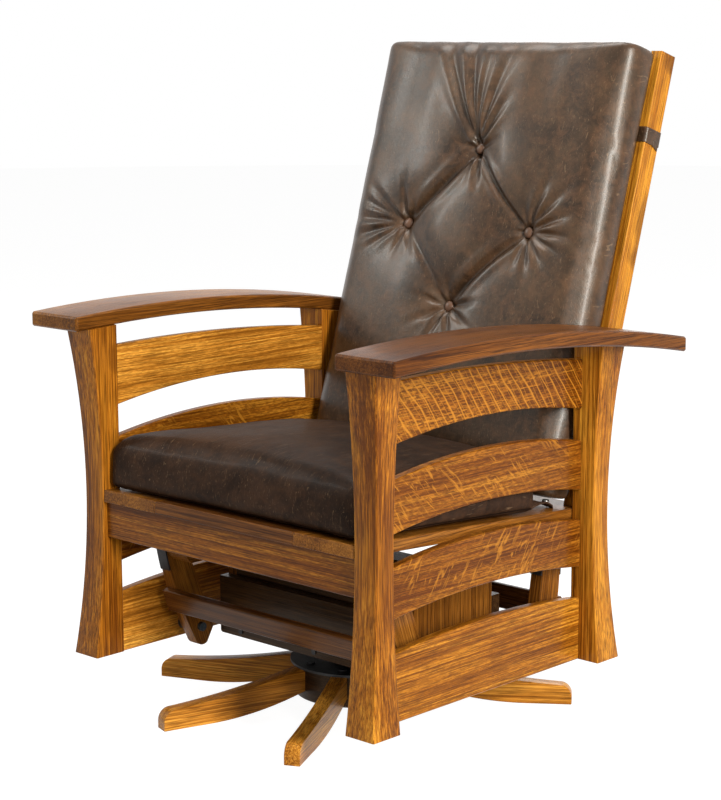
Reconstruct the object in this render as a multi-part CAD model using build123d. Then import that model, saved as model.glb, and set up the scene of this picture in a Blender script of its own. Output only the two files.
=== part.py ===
from build123d import *
import math
import os

# Swivel glider chair, in millimetres. The chair faces -Y, +X is to the right seen from the front,
# and +Z is up. It is drawn about its swivel axis, and then moved so that its origin is on the floor
# under the middle of its outline.

# Driving dimensions of the chair frame
inside_half_width = 277.0
deck_depth = 555.0
deck_front_share = 0.53514
deck_front_y = -deck_depth * deck_front_share
post_width_bottom = 57.0
post_width_waist = 44.0
post_width_top = 59.0
post_outer_x_bottom = inside_half_width + post_width_bottom
post_outer_x_waist = inside_half_width + post_width_waist
post_outer_x_top = inside_half_width + post_width_top
post_bottom_z = 76.6
post_waist_z = 345.0
front_post_setback = 35.4
front_post_depth_bottom = 57.9
front_post_depth_waist = 36.9
front_post_depth_top = 54.4
front_post_back_y = deck_front_y + front_post_setback
front_post_front_y = front_post_back_y - front_post_depth_bottom
front_post_waist_y = front_post_back_y - front_post_depth_waist
front_post_top_y = front_post_back_y - front_post_depth_top
back_post_setback = 52.0
back_post_depth_bottom = 56.2
back_post_depth_waist = 38.5
back_post_depth_top = 62.0
back_post_front_y = deck_front_y + deck_depth - back_post_setback
back_post_back_y = back_post_front_y + back_post_depth_bottom
back_post_waist_y = back_post_front_y + back_post_depth_waist
back_post_top_y = back_post_front_y + back_post_depth_top
edge_ease = 1.6
overrun = 40.0

# Side slats: height of each edge at its ends and at its middle
slat_setback = 17.7
slat_outer_x = inside_half_width + slat_setback
slat_thickness = 16.0
slat_tenon_length = 14.0
slat_tenon_inset = 4.0
bottom_panel_top_end_z = 178.5
bottom_panel_top_mid_z = 193.0
lower_slat_edges = (229.5, 247.5, 307.0, 327.5)
middle_slat_edges = (355.5, 377.0, 435.5, 458.0)
upper_slat_bottom_end_z = 486.5
upper_slat_bottom_mid_z = 508.0
upper_slat_top_front_z = 583.0
upper_slat_top_mid_z = 583.5
upper_slat_top_back_z = 566.0

# Bowed arms
arm_inner_gap = 3.0
arm_width = 114.7
arm_inner_x = inside_half_width + arm_inner_gap
arm_outer_x = arm_inner_x + arm_width
arm_thickness = 24.0
arm_front_overhang = 44.0
arm_back_overhang = 88.0
arm_front_y = deck_front_y - arm_front_overhang
arm_back_y = deck_front_y + deck_depth + arm_back_overhang
arm_front_top_z = 635.0
post_flare_drop = 29.0
post_flare_top_z = arm_front_top_z - post_flare_drop
arm_back_top_z = 596.0
arm_bow = 23.0
arm_edge_ease = 3.0

# Seat deck, which falls towards the back
deck_front_top_z = 353.0
deck_tilt = 3.5
deck_thickness = 20.0
deck_side_rail_width = 124.0
deck_side_gap = 0.6
deck_end_rail_width = 95.0
deck_panel_thickness = 12.0
apron_setback = 6.0
apron_front_y = deck_front_y + apron_setback
apron_thickness = 19.0
apron_bottom_z = 273.5
rear_apron_setback = 15.0
rear_apron_front_y = back_post_front_y + rear_apron_setback
rear_apron_bottom_z = 272.0

# Reclined back frame, measured along its own posts
back_line_setback = 46.0
back_line_y = deck_front_y + deck_depth + back_line_setback
back_line_z = 595.0
back_tilt = 16.8
back_frame_side_gap = 7.0
back_post_outer_x = inside_half_width - back_frame_side_gap
back_stile_width = 23.0
back_stile_depth = 39.0
back_stile_top = 467.0
back_stile_reach = 330.0
back_rail_depth = 20.0
back_rail_inset = 12.0
back_top_rail_height = 64.0
back_slat_height = 46.0
back_slat_count = 4
back_slat_pitch = 140.0
back_bolt_radius = 5.0
back_bolt_bury = 12.0
back_spacer_radius = 9.0

# Glider linkage: upper pivots on the turret, lower pivots on the bottom panels
upper_pivot_share = 0.33333
upper_pivot_y = deck_depth * upper_pivot_share
front_link_run = 53.0
rear_link_run = 22.0
upper_pivot_z = 248.0
front_lower_pivot_y = front_link_run - upper_pivot_y
rear_lower_pivot_y = upper_pivot_y - rear_link_run
lower_pivot_z = 100.0
link_side_gap = 20.0
link_outer_x = inside_half_width - link_side_gap
link_thickness = 22.0
link_top_reach = 20.0
link_front_half_top = 16.0
link_front_half_mid = 25.0
link_front_half_low = 17.0
link_back_half = 25.0
link_toe_reach = 33.0
link_toe_shoulder = 15.0
crossrail_start = 70.0
crossrail_height = 40.0
crossrail_face = 36.0
crossrail_thickness = 13.0
cap_wall = 2.5
cap_reach_down = 34.0
pivot_bolt_radius = 6.0
pivot_clearance = 0.05
pivot_head_radius = 10.0
pivot_head_height = 5.0
pivot_shoulder_radius = 11.0
lower_bolt_radius = 5.0
lower_bolt_head_radius = 7.5
lower_bolt_head_height = 5.0
lower_spacer_radius = 11.0
lower_bolt_bury = 11.0
open_pivot_slack = 4.6
open_pivot_washer_radius = 15.0
open_pivot_washer_thickness = 1.5
side_running_gap = 0.3

# Turret that swivels on the star base
turret_board = 19.0
platform_bottom_z = 92.0
platform_side_gap = 89.0
platform_half_width = inside_half_width - platform_side_gap
platform_half_depth = 93.0
end_board_half_width = platform_half_width + turret_board
end_board_height = 97.0
end_board_corner = 5.0
side_board_top_z = 228.0
pivot_rail_thickness = 22.0
pivot_rail_end = 18.0
pivot_rail_corner = 9.0
pivot_rail_half_length = upper_pivot_y + pivot_rail_end
pivot_rail_bottom_z = 228.0
pivot_rail_top_z = 264.0
spreader_depth = 50.0
board_screw_radius = 2.5
board_screw_head_radius = 4.5
board_screw_head_height = 2.0
board_screw_length = 38.0
board_screw_shares = (-0.84, 0.0585, 0.84)

# Swivel
lower_plate_radius = 110.0
lower_plate_bottom_z = 64.0
swivel_plate_thickness = 4.0
lower_collar_radius = 46.0
lower_collar_height = 6.0
upper_plate_radius = 100.0
boss_radius = 31.0
spindle_radius = 12.5
spindle_bottom_z = 24.0
spindle_end_gap = 2.0
spindle_top_z = platform_bottom_z - swivel_plate_thickness - spindle_end_gap
swivel_gap = 0.3

# Star base: five sawn legs let into a turned hub
hub_radius = 104.0
hub_bottom_z = 12.0
leg_angles = (-156.9, -107.9, -62.8, 36.6, 107.0)
leg_reach = 350.0
leg_thickness = 25.0
leg_root_radius = 46.0
leg_flat_share = 0.83
leg_flat_start = leg_reach * leg_flat_share
leg_tip_height = 32.0
leg_tip_nose = 13.0
leg_nose_run = 16.0
leg_mid_share = 0.57
leg_mid_radius = leg_reach * leg_mid_share
leg_mid_height = 46.5
leg_arch_mid_z = 5.0
leg_arch_root_z = 27.0
leg_root_top_z = 80.0
leg_ease = 2.0
leg_screw_radius = 4.0
leg_screw_head_radius = 7.0
leg_screw_head_height = 3.0
leg_screw_circle = 86.0
leg_screw_tip_z = 40.0

# Cushions, straps and buttons
soft_gap = 0.4
seat_cushion_side_gap = 3.5
seat_cushion_half_width = inside_half_width - seat_cushion_side_gap
seat_cushion_front_y = deck_front_y + apron_setback
back_cushion_room = 143.0
seat_cushion_depth = deck_depth - back_cushion_room
seat_cushion_edge_height = 90.0
seat_cushion_crown = 22.0
seat_cushion_draw = 5.0
seat_cushion_round = 16.0
seat_cushion_brow = 32.0
seat_cushion_shoulder = 24.0
back_cushion_side_gap = 16.0
back_cushion_half_width = inside_half_width - back_cushion_side_gap
back_cushion_edge_depth = 74.0
back_cushion_crown = 30.0
back_cushion_draw = 6.0
back_cushion_top = 463.0
back_cushion_bottom = -262.0
back_cushion_round = 14.0
back_cushion_brow = 20.0
back_cushion_shoulder = 36.0
button_places = ((0.0, 274.0), (-132.0, 139.0), (132.0, 139.0), (0.0, 3.0))
button_radius = 8.5
button_height = 4.5
tuft_radius = 62.0
tuft_depth = 24.0
crease_radius = 14.0
crease_depth = 5.0
strap_thickness = 2.5
strap_width = 25.0
strap_centre = 327.0
tab_width = 24.0
tab_side_gap = 39.0
tab_inner_x = inside_half_width - tab_side_gap
tab_length = 66.0
tab_rise = 11.0
end_shares = (0.0, 0.12, 0.45, 1.0)
middle_shares = (0.14, 0.3, 0.5, 0.7, 0.86)
corner_share = 0.9
corner_limit_share = 0.4
end_bulge_share = 0.12

nodes = {}


def keep(name, *solids):
    nodes[name] = solids


def block(x0, x1, y0, y1, z0, z1):
    centre = Pos((x0 + x1) / 2, (y0 + y1) / 2, (z0 + z1) / 2)
    return centre * Box(abs(x1 - x0), abs(y1 - y0), abs(z1 - z0))


def side_extrusion(edges, x0, x1):
    face = make_face(edges)
    return extrude(Plane.YZ.offset(x0) * face, amount=x1 - x0)


def front_extrusion(edges, y0, y1):
    face = make_face(edges)
    return extrude(Plane.XZ.offset(-y0) * face, amount=y0 - y1)


def x_cylinder(radius, x0, x1, y, z):
    lie_along_x = Rot(0, 90, 0)
    return Pos((x0 + x1) / 2, y, z) * lie_along_x * Cylinder(radius, abs(x1 - x0))


def z_cylinder(radius, z0, z1, x=0.0, y=0.0):
    return Pos(x, y, (z0 + z1) / 2) * Cylinder(radius, z1 - z0)


def eased(shape, amount, axis):
    return chamfer(shape.edges().filter_by(axis), amount)


def other_side(shape):
    return mirror(shape, about=Plane.YZ)


# Star base


def leg_profile():
    nose_top = (leg_reach - leg_nose_run, leg_tip_height)
    nose_tip = (leg_reach, leg_tip_nose)
    nose_bulge = (leg_reach - leg_nose_run / 4, (leg_tip_height + leg_tip_nose) / 2 + leg_ease)
    top_root = (leg_root_radius, leg_root_top_z)
    under_root = (leg_root_radius, leg_arch_root_z)
    under_rim = (hub_radius, leg_arch_root_z)
    edges = Line((leg_flat_start, 0), (leg_reach, 0))
    edges += Line((leg_reach, 0), nose_tip)
    edges += ThreePointArc(nose_tip, nose_bulge, nose_top)
    edges += ThreePointArc(nose_top, (leg_mid_radius, leg_mid_height), top_root)
    edges += Line(top_root, under_root)
    edges += Line(under_root, under_rim)
    edges += ThreePointArc(under_rim, (leg_mid_radius, leg_arch_mid_z), (leg_flat_start, 0))
    return edges


def star_leg(angle, screw):
    leg = front_extrusion(leg_profile(), -leg_thickness / 2, leg_thickness / 2)
    plate_seat = block(0, leg_reach, -leg_thickness, leg_thickness, lower_plate_bottom_z, leg_root_top_z * 2)
    leg = leg - plate_seat
    leg = Rot(0, 0, angle) * leg
    return leg - screw


def leg_screw(angle):
    turn = math.radians(angle)
    x = leg_screw_circle * math.cos(turn)
    y = leg_screw_circle * math.sin(turn)
    plate_top = lower_plate_bottom_z + swivel_plate_thickness
    shank = z_cylinder(leg_screw_radius, leg_screw_tip_z, plate_top, x, y)
    head = z_cylinder(leg_screw_head_radius, plate_top, plate_top + leg_screw_head_height, x, y)
    return shank + head


def base_parts():
    spindle = z_cylinder(spindle_radius, spindle_bottom_z, spindle_top_z)
    spindle = chamfer(spindle.edges().sort_by(Axis.Z)[-1], leg_ease)
    hub = z_cylinder(hub_radius, hub_bottom_z, lower_plate_bottom_z)
    hub = chamfer(hub.edges().sort_by(Axis.Z)[0], leg_ease)
    screws = [leg_screw(angle) for angle in leg_angles]
    plate_top = lower_plate_bottom_z + swivel_plate_thickness
    plate = z_cylinder(lower_plate_radius, lower_plate_bottom_z, plate_top)
    plate = plate + z_cylinder(lower_collar_radius, plate_top, plate_top + lower_collar_height)
    plate = chamfer(plate.edges().filter_by(GeomType.CIRCLE).sort_by(Axis.Z)[-1], leg_ease)
    plate = plate - spindle
    for screw in screws:
        plate = plate - screw
    hub = hub - spindle
    for number, angle in enumerate(leg_angles):
        leg = star_leg(angle, screws[number])
        hub = hub - leg
        keep(f"star_leg_{number + 1}", leg)
    for screw in screws:
        hub = hub - screw
    keep("base_hub", hub)
    keep("lower_swivel_plate", plate)
    keep("swivel_spindle", spindle)
    keep("leg_screws", *screws)


# Turret


def upper_swivel_plate():
    plate_bottom = platform_bottom_z - swivel_plate_thickness
    boss_bottom = lower_plate_bottom_z + swivel_plate_thickness + lower_collar_height + swivel_gap
    plate = z_cylinder(upper_plate_radius, plate_bottom, platform_bottom_z)
    plate = chamfer(plate.edges().filter_by(GeomType.CIRCLE), swivel_plate_thickness / 4)
    boss = z_cylinder(boss_radius, boss_bottom, plate_bottom)
    bore = z_cylinder(spindle_radius + pivot_clearance, boss_bottom, spindle_top_z + spindle_end_gap)
    return plate + boss - bore


def end_board_outline():
    half = end_board_half_width
    low = platform_bottom_z
    high = platform_bottom_z + end_board_height
    near = half - end_board_corner
    edges = Line((-near, low), (near, low))
    edges += ThreePointArc((near, low), corner_middle(near, low, 1), (half, low + end_board_corner))
    edges += Line((half, low + end_board_corner), (half, high))
    edges += Line((half, high), (-half, high))
    edges += Line((-half, high), (-half, low + end_board_corner))
    edges += ThreePointArc((-half, low + end_board_corner), corner_middle(near, low, -1), (-near, low))
    return edges


def corner_middle(near, low, side):
    reach = end_board_corner * math.sin(math.radians(45))
    return (side * (near + reach), low + end_board_corner - reach)


def board_screws():
    screws = []
    face = platform_half_depth + turret_board
    height = platform_bottom_z + turret_board / 2
    for side in (-1, 1):
        for share in board_screw_shares:
            lie = Pos(share * platform_half_width, 0, height) * Rot(90, 0, 0)
            shank = lie * Pos(0, 0, -side * (face - board_screw_length / 2))
            head = lie * Pos(0, 0, -side * (face + board_screw_head_height / 2))
            solid = shank * Cylinder(board_screw_radius, board_screw_length)
            solid = solid + head * Cylinder(board_screw_head_radius, board_screw_head_height)
            screws.append(solid)
    return screws


def side_board():
    inner = platform_half_width
    outer = inner + turret_board
    depth = platform_half_depth
    board = block(inner, outer, -depth, depth, platform_bottom_z, side_board_top_z)
    return eased(board, edge_ease, Axis.X)


def pivot_rail():
    inner = platform_half_width + turret_board - pivot_rail_thickness
    outer = platform_half_width + turret_board + pivot_rail_thickness
    half = pivot_rail_half_length
    rail = block(inner, outer, -half, half, pivot_rail_bottom_z, pivot_rail_top_z)
    return eased(rail, pivot_rail_corner, Axis.X)


def spreader(side):
    y0 = side * (platform_half_depth - spreader_depth)
    y1 = side * platform_half_depth
    inner = platform_half_width
    low = platform_bottom_z + end_board_height
    return block(-inner, inner, min(y0, y1), max(y0, y1), low, side_board_top_z)


def upper_pivot_bolt(y):
    rail_outer = platform_half_width + turret_board + pivot_rail_thickness
    rail_inner = platform_half_width + turret_board - pivot_rail_thickness
    link_inner = link_outer_x - link_thickness
    head_start = link_outer_x + side_running_gap
    bolt = x_cylinder(pivot_bolt_radius, rail_inner, head_start, y, upper_pivot_z)
    bolt += x_cylinder(pivot_shoulder_radius, rail_outer, link_inner - side_running_gap, y, upper_pivot_z)
    bolt += x_cylinder(pivot_head_radius, head_start, head_start + pivot_head_height, y, upper_pivot_z)
    return bolt


def turret_parts():
    keep("upper_swivel_plate", upper_swivel_plate())
    wide = platform_half_width
    deep = platform_half_depth
    top = platform_bottom_z + turret_board
    screws = board_screws()
    platform = block(-wide, wide, -deep, deep, platform_bottom_z, top)
    front = front_extrusion(end_board_outline(), -deep - turret_board, -deep)
    rear = front_extrusion(end_board_outline(), deep, deep + turret_board)
    for screw in screws:
        platform = platform - screw
        front = front - screw
        rear = rear - screw
    keep("turret_platform", platform)
    keep("turret_front_board", front)
    keep("turret_rear_board", rear)
    keep("turret_spreaders", spreader(-1), spreader(1))
    keep("turret_side_board_right", side_board())
    keep("turret_side_board_left", other_side(side_board()))
    bolts = [upper_pivot_bolt(-upper_pivot_y), upper_pivot_bolt(upper_pivot_y)]
    rail = pivot_rail()
    for bolt in bolts:
        rail = rail - bolt
    keep("pivot_rail_right", rail)
    keep("pivot_rail_left", other_side(rail))
    keep("upper_pivot_bolts", *(bolts + [other_side(bolt) for bolt in bolts]))
    keep("board_screws", *screws)


# Glider links, drawn along their own length: v is down the link and w is away from the turret


def link_frame(upper_y, lower_y):
    run = lower_y - upper_y
    drop = upper_pivot_z - lower_pivot_z
    lean = math.degrees(math.atan2(run, drop))
    return Location((0, upper_y, upper_pivot_z), (lean, 0, 0))


def link_length(upper_y, lower_y):
    return math.hypot(lower_y - upper_y, upper_pivot_z - lower_pivot_z)


def link_outline(length, side, grow=0.0):
    low = -(length + link_toe_shoulder)
    toe = -(length + link_toe_reach)
    top = link_top_reach + grow
    face_top = (side * (link_front_half_top + grow), top)
    face_mid = (side * (link_front_half_mid + grow), -length / 2)
    face_low = (side * (link_front_half_low + grow), low)
    heel = (-side * (link_back_half + grow), low)
    toe_point = (-side * link_front_half_top / 4, toe)
    toe_bulge = (side * link_front_half_low / 2, (low + toe) / 2 - link_toe_shoulder / 2)
    back_top = (-side * (link_back_half - edge_ease * 2 + grow), top)
    edges = ThreePointArc(face_top, face_mid, face_low)
    edges += ThreePointArc(face_low, toe_bulge, toe_point)
    edges += Line(toe_point, heel)
    edges += Line(heel, back_top)
    edges += Line(back_top, face_top)
    return edges


def link_pair(upper_y, lower_y, lower_hole_radius):
    side = -1 if upper_y < 0 else 1
    place = link_frame(upper_y, lower_y)
    length = link_length(upper_y, lower_y)
    inner = link_outer_x - link_thickness
    rail_face = side * crossrail_face
    rail_back = side * (crossrail_face - crossrail_thickness)
    rail_low = -(crossrail_start + crossrail_height)
    rail = block(-link_outer_x, link_outer_x, min(rail_face, rail_back), max(rail_face, rail_back),
                 rail_low, -crossrail_start)
    rail = chamfer(rail.edges().filter_by(Axis.X), edge_ease)
    link = side_extrusion(link_outline(length, side), inner, link_outer_x)
    link = link - rail
    grown = side_extrusion(link_outline(length, side, cap_wall), inner, link_outer_x)
    keep_zone = block(inner - overrun, link_outer_x + overrun, -overrun * 2, overrun * 2,
                      -cap_reach_down, overrun * 2)
    cap = (grown & keep_zone) - link
    upper_hole = x_cylinder(pivot_bolt_radius + pivot_clearance, inner - overrun,
                            link_outer_x + overrun, 0, 0)
    lower_hole = x_cylinder(lower_hole_radius, inner - overrun, link_outer_x + overrun, 0, -length)
    link = link - upper_hole - lower_hole
    return place * link, place * cap, place * rail


def link_parts(name, upper_y, lower_y, lower_hole_radius):
    link, cap, rail = link_pair(upper_y, lower_y, lower_hole_radius)
    keep(f"{name}_link_right", link)
    keep(f"{name}_link_left", other_side(link))
    keep(f"{name}_link_caps", cap, other_side(cap))
    keep(f"{name}_crossrail", rail)


def lower_pivot_bolt(y, washer_radius):
    inner = link_outer_x - link_thickness
    panel_inner = slat_outer_x - slat_thickness
    z = lower_pivot_z
    washer_face = inner - side_running_gap
    washer_back = washer_face - open_pivot_washer_thickness
    bolt = x_cylinder(lower_bolt_radius, washer_face, panel_inner + lower_bolt_bury, y, z)
    bolt += x_cylinder(washer_radius, washer_back, washer_face, y, z)
    bolt += x_cylinder(lower_bolt_head_radius, washer_back - lower_bolt_head_height, washer_back, y, z)
    bolt += x_cylinder(lower_spacer_radius, link_outer_x + side_running_gap, panel_inner, y, z)
    return bolt


# Chair frame


def arm_arc(drop):
    front = (arm_front_y, arm_front_top_z - drop)
    back = (arm_back_y, arm_back_top_z - drop)
    slope = math.atan2(back[1] - front[1], back[0] - front[0])
    middle_y = (front[0] + back[0]) / 2 - arm_bow * math.sin(slope)
    middle_z = (front[1] + back[1]) / 2 + arm_bow * math.cos(slope)
    return ThreePointArc(front, (middle_y, middle_z), back)


def arm():
    edges = arm_arc(0) + arm_arc(arm_thickness)
    edges += Line((arm_front_y, arm_front_top_z), (arm_front_y, arm_front_top_z - arm_thickness))
    edges += Line((arm_back_y, arm_back_top_z), (arm_back_y, arm_back_top_z - arm_thickness))
    board = side_extrusion(edges, arm_inner_x, arm_outer_x)
    return chamfer(board.edges(), arm_edge_ease)


def above_arm_underside():
    high = arm_front_top_z + overrun
    edges = arm_arc(arm_thickness)
    edges += Line((arm_front_y, arm_front_top_z - arm_thickness), (arm_front_y, high))
    edges += Line((arm_front_y, high), (arm_back_y, high))
    edges += Line((arm_back_y, high), (arm_back_y, arm_back_top_z - arm_thickness))
    return side_extrusion(edges, inside_half_width - overrun, arm_outer_x + overrun)


def post_side_outline(flat_y, bottom_y, waist_y, top_y):
    top_z = arm_front_top_z
    edges = ThreePointArc((bottom_y, post_bottom_z), (waist_y, post_waist_z), (top_y, post_flare_top_z))
    edges += Line((top_y, post_flare_top_z), (top_y, top_z))
    edges += Line((top_y, top_z), (flat_y, top_z))
    edges += Line((flat_y, top_z), (flat_y, post_bottom_z))
    edges += Line((flat_y, post_bottom_z), (bottom_y, post_bottom_z))
    return edges


def post_front_outline():
    top_z = arm_front_top_z
    inner = inside_half_width
    bottom = (post_outer_x_bottom, post_bottom_z)
    top = (post_outer_x_top, post_flare_top_z)
    edges = ThreePointArc(bottom, (post_outer_x_waist, post_waist_z), top)
    edges += Line(top, (post_outer_x_top, top_z))
    edges += Line((post_outer_x_top, top_z), (inner, top_z))
    edges += Line((inner, top_z), (inner, post_bottom_z))
    edges += Line((inner, post_bottom_z), bottom)
    return edges


def post(flat_y, bottom_y, waist_y, top_y, slats):
    low_y = min(flat_y, bottom_y, top_y) - overrun
    high_y = max(flat_y, bottom_y, top_y) + overrun
    side_form = side_extrusion(post_side_outline(flat_y, bottom_y, waist_y, top_y),
                               inside_half_width - overrun, post_outer_x_top + overrun)
    front_form = front_extrusion(post_front_outline(), low_y, high_y)
    form = side_form & front_form
    upright = form.edges().filter_by(lambda e: e.bounding_box().size.Z > post_waist_z)
    form = chamfer(upright, edge_ease)
    form = form - above_arm_underside()
    for slat in slats:
        form = form - slat
    return form


def slat_solid(bottom, top):
    y0 = front_post_back_y
    y1 = back_post_front_y
    inner = slat_outer_x - slat_thickness
    edges = bottom + top
    edges += Line(bottom @ 0, top @ 0)
    edges += Line(bottom @ 1, top @ 1)
    board = side_extrusion(edges, inner, slat_outer_x)
    long_edges = board.edges().filter_by(lambda e: e.bounding_box().size.Y > overrun)
    board = chamfer(long_edges, edge_ease)
    low = max((bottom @ 0).Y, (bottom @ 1).Y) + slat_tenon_inset
    high = min((top @ 0).Y, (top @ 1).Y) - slat_tenon_inset
    x0 = inner + slat_tenon_inset
    x1 = slat_outer_x - slat_tenon_inset
    board += block(x0, x1, y0 - slat_tenon_length, y0, low, high)
    board += block(x0, x1, y1, y1 + slat_tenon_length, low, high)
    return board


def bowed_edge(end_z, middle_z):
    y0 = front_post_back_y
    y1 = back_post_front_y
    return ThreePointArc((y0, end_z), ((y0 + y1) / 2, middle_z), (y1, end_z))


def side_slats():
    y0 = front_post_back_y
    y1 = back_post_front_y
    flat_bottom = Line((y0, post_bottom_z), (y1, post_bottom_z))
    upper_top = ThreePointArc((y0, upper_slat_top_front_z), ((y0 + y1) / 2, upper_slat_top_mid_z),
                              (y1, upper_slat_top_back_z))
    panel = slat_solid(flat_bottom, bowed_edge(bottom_panel_top_end_z, bottom_panel_top_mid_z))
    lower = slat_solid(bowed_edge(*lower_slat_edges[:2]), bowed_edge(*lower_slat_edges[2:]))
    middle = slat_solid(bowed_edge(*middle_slat_edges[:2]), bowed_edge(*middle_slat_edges[2:]))
    upper = slat_solid(bowed_edge(upper_slat_bottom_end_z, upper_slat_bottom_mid_z), upper_top)
    return {"bottom_panel": panel, "lower_slat": lower, "middle_slat": middle, "upper_slat": upper}


deck_frame = Location((0, deck_front_y, deck_front_top_z), (-deck_tilt, 0, 0))


def deck_parts():
    outer = inside_half_width - deck_side_gap
    inner = outer - deck_side_rail_width
    thick = deck_thickness
    end = deck_end_rail_width
    side_rail = block(inner, outer, 0, deck_depth, -thick, 0)
    side_rail = chamfer(side_rail.edges().filter_by(Axis.Y), edge_ease)
    front_rail = block(-inner, inner, 0, end, -thick, 0)
    rear_rail = block(-inner, inner, deck_depth - end, deck_depth, -thick, 0)
    panel = block(-inner, inner, end, deck_depth - end, -deck_panel_thickness, 0)
    keep("deck_side_rail_right", deck_frame * side_rail)
    keep("deck_side_rail_left", other_side(deck_frame * side_rail))
    keep("deck_front_rail", deck_frame * front_rail)
    keep("deck_rear_rail", deck_frame * rear_rail)
    keep("deck_panel", deck_frame * panel)


def apron(front_y, bottom_z):
    inner = inside_half_width
    board = block(-inner, inner, front_y, front_y + apron_thickness, bottom_z, deck_front_top_z)
    above = deck_frame * block(-inner - overrun, inner + overrun, -overrun, deck_depth + overrun,
                               -deck_thickness, overrun)
    board = board - above
    low_front = board.edges().filter_by(Axis.X).sort_by(Axis.Z)[0:2]
    return chamfer(low_front, edge_ease)


back_frame = Location((0, back_line_y, back_line_z), (-back_tilt, 0, 0))


def below_deck_top():
    inner = inside_half_width + overrun
    return deck_frame * block(-inner, inner, -overrun, deck_depth + overrun * 4, -overrun * 4, 0)


def back_bolt():
    lie_y = back_line_y + back_stile_depth / 2
    z = arm_back_top_z - arm_thickness / 2 + edge_ease
    bolt = x_cylinder(back_bolt_radius, back_post_outer_x - back_bolt_bury,
                      arm_inner_x + back_bolt_bury, lie_y, z)
    bolt += x_cylinder(back_spacer_radius, back_post_outer_x, arm_inner_x, lie_y, z)
    return bolt


def back_frame_parts(bolt):
    inner = back_post_outer_x - back_stile_width
    stile = block(inner, back_post_outer_x, 0, back_stile_depth, -back_stile_reach, back_stile_top)
    stile = chamfer(stile.edges().filter_by(Axis.Z), edge_ease)
    stile = back_frame * stile - below_deck_top() - bolt
    y0 = back_rail_inset
    y1 = back_rail_inset + back_rail_depth
    top_rail = block(-inner, inner, y0, y1, back_stile_top - back_top_rail_height, back_stile_top)
    top_rail = chamfer(top_rail.edges().filter_by(Axis.X), edge_ease)
    slats = []
    for count in range(back_slat_count):
        low = back_stile_top - back_top_rail_height - (count + 1) * back_slat_pitch
        slat = block(-inner, inner, y0, y1, low, low + back_slat_height)
        slats.append(back_frame * chamfer(slat.edges().filter_by(Axis.X), edge_ease))
    keep("back_stile_right", stile)
    keep("back_stile_left", other_side(stile))
    keep("back_top_rail", back_frame * top_rail)
    keep("back_slats", *slats)


def end_inset(station, length, rounding):
    near = min(station, length - station)
    if near >= rounding:
        return 0.0
    return rounding - math.sqrt(rounding ** 2 - (rounding - near) ** 2)


def bulge(station, length):
    return 1 - (1 - end_bulge_share) * (2 * station / length - 1) ** 4


# A cushion is rounded by rounding below, by brow at the top of its ends and by shoulder along the sides
def cushion_stations(length, brow):
    starts = [brow * share for share in end_shares]
    middles = [length * share for share in middle_shares]
    return starts + middles + [length - station for station in reversed(starts)]


def cushion_section(station, length, half_width, height, crown, draw, rounding, brow, shoulder):
    swell = bulge(station, length)
    low = end_inset(station, length, rounding)
    high = height - end_inset(station, length, brow)
    wide = half_width - draw * swell / 2 - low
    top = high + crown * swell
    soft = min(rounding * corner_share, (high - low) * corner_limit_share)
    broad = min(shoulder, (high - low) * corner_limit_share)
    waist = wide - draw * swell / 2
    half_height = (low + soft + high - broad) / 2
    lap = soft * (1 - math.sin(math.radians(45)))
    crook = broad * (1 - math.sin(math.radians(45)))
    edges = Line((-wide + soft, low), (wide - soft, low))
    edges += ThreePointArc((wide - soft, low), (wide - lap, low + lap), (wide, low + soft))
    edges += ThreePointArc((wide, low + soft), (waist, half_height), (wide, high - broad))
    edges += ThreePointArc((wide, high - broad), (wide - crook, high - crook), (wide - broad, high))
    edges += ThreePointArc((wide - broad, high), (0, top), (-wide + broad, high))
    edges += ThreePointArc((-wide + broad, high), (-wide + crook, high - crook), (-wide, high - broad))
    edges += ThreePointArc((-wide, high - broad), (-waist, half_height), (-wide, low + soft))
    edges += ThreePointArc((-wide, low + soft), (-wide + lap, low + lap), (-wide + soft, low))
    return Plane.XZ.offset(-station) * make_face(edges)


def cushion(length, half_width, height, crown, draw, rounding, brow, shoulder):
    sections = []
    for station in cushion_stations(length, brow):
        sections.append(cushion_section(station, length, half_width, height, crown, draw,
                                        rounding, brow, shoulder))
    return loft(sections, ruled=True)


def seat_cushion():
    form = cushion(seat_cushion_depth, seat_cushion_half_width, seat_cushion_edge_height,
                   seat_cushion_crown, seat_cushion_draw, seat_cushion_round,
                   seat_cushion_brow, seat_cushion_shoulder)
    return deck_frame * Pos(0, seat_cushion_front_y - deck_front_y, soft_gap) * form


def back_cushion():
    length = back_cushion_top - back_cushion_bottom
    form = cushion(length, back_cushion_half_width, back_cushion_edge_depth,
                   back_cushion_crown, back_cushion_draw, back_cushion_round,
                   back_cushion_brow, back_cushion_shoulder)
    return Pos(0, back_cushion_bottom, 0) * form - tufts() - creases()


def cushion_face(x, u):
    length = back_cushion_top - back_cushion_bottom
    swell = bulge(u - back_cushion_bottom, length)
    reach = back_cushion_half_width - back_cushion_shoulder
    return back_cushion_edge_depth + back_cushion_crown * swell * (1 - (x / reach) ** 2)


def tufts():
    ball_radius = (tuft_radius ** 2 + tuft_depth ** 2) / (2 * tuft_depth)
    dents = Part()
    for x, u in button_places:
        dents += Pos(x, u, cushion_face(x, u) - tuft_depth + ball_radius) * Sphere(ball_radius)
    return dents


def creases():
    top, left, right, bottom = button_places
    folds = Part()
    for start, end in ((top, left), (top, right), (bottom, left), (bottom, right)):
        run = math.hypot(end[0] - start[0], end[1] - start[1])
        turn = math.degrees(math.atan2(end[1] - start[1], end[0] - start[0]))
        x = (start[0] + end[0]) / 2
        u = (start[1] + end[1]) / 2
        height = cushion_face(x, u) - crease_depth + crease_radius
        folds += Pos(x, u, height) * Rot(0, 0, turn) * Rot(0, 90, 0) * Cylinder(crease_radius, run)
    return folds


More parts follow.
